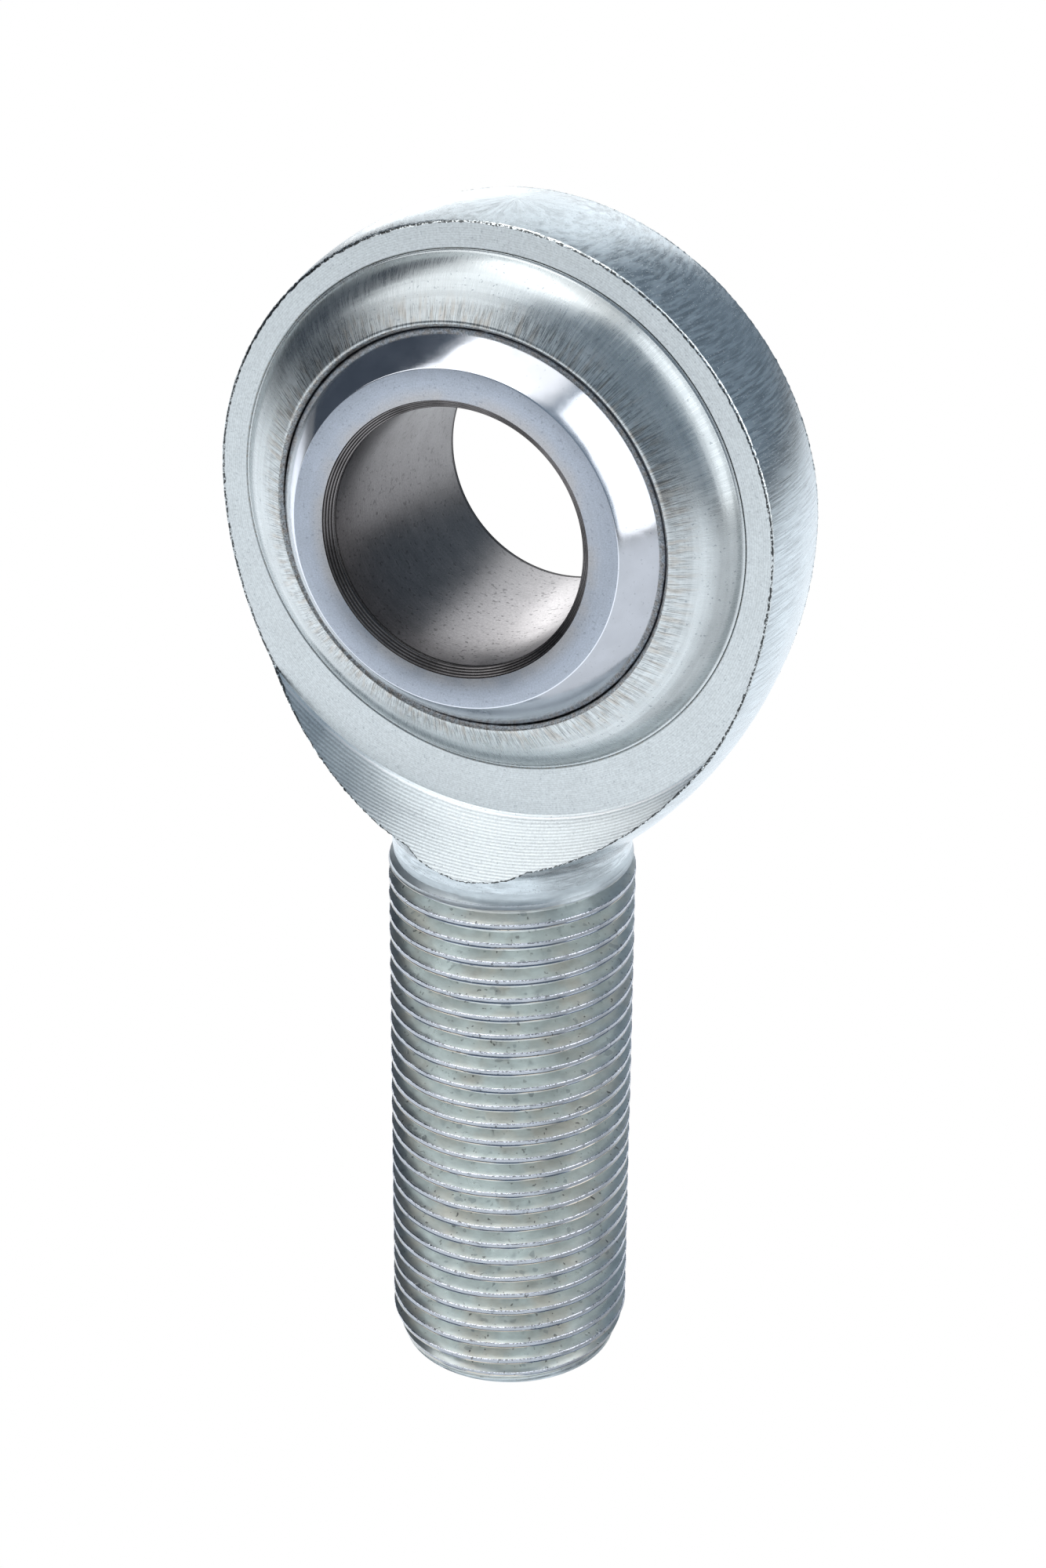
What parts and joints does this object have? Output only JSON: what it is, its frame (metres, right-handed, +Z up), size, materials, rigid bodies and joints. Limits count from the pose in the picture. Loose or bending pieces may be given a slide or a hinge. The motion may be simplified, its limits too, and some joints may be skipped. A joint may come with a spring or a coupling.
{
  "type": "rod end bearing",
  "caption": "Male rod end: an eye with a swivelling chromed ball in a swaged race, on a right-hand threaded shank, joining a rod to a bolt or pin.",
  "frame": {"origin": "centre of the shank's flat end face", "axes": "+Z runs up the shank through the ball's centre; +Y runs along the head's bore axis, square to the head's two flat faces; +X completes the right-hand frame"},
  "size_m": [0.0444, 0.0238, 0.0953],
  "materials": {
    "zinc_body": "zinc plated, satin, fine tool marks",
    "zinc_race": "zinc plated, polished lip with radial scratches",
    "chrome_ball": "hard chrome, mirror outside, satin faces, honed bore"
  },
  "bodies": {
    "rod_body": {"rod_body": "zinc_body"},
    "race": {"race": "zinc_race"},
    "ball": {"ball": "chrome_ball"}
  },
  "joints": [
    {"name": "ball_turn", "type": "hinge", "parent": "rod_body", "child": "race", "pos_m": [0, 0, 0.07303], "axis": [0, 1, 0], "continuous": true},
    {"name": "ball_tilt", "type": "hinge", "parent": "race", "child": "ball", "pos_m": [0, 0, 0.07303], "axis": [-0.862, 0, 0.507], "range_deg": [-17.62, 10.38]}
  ]
}
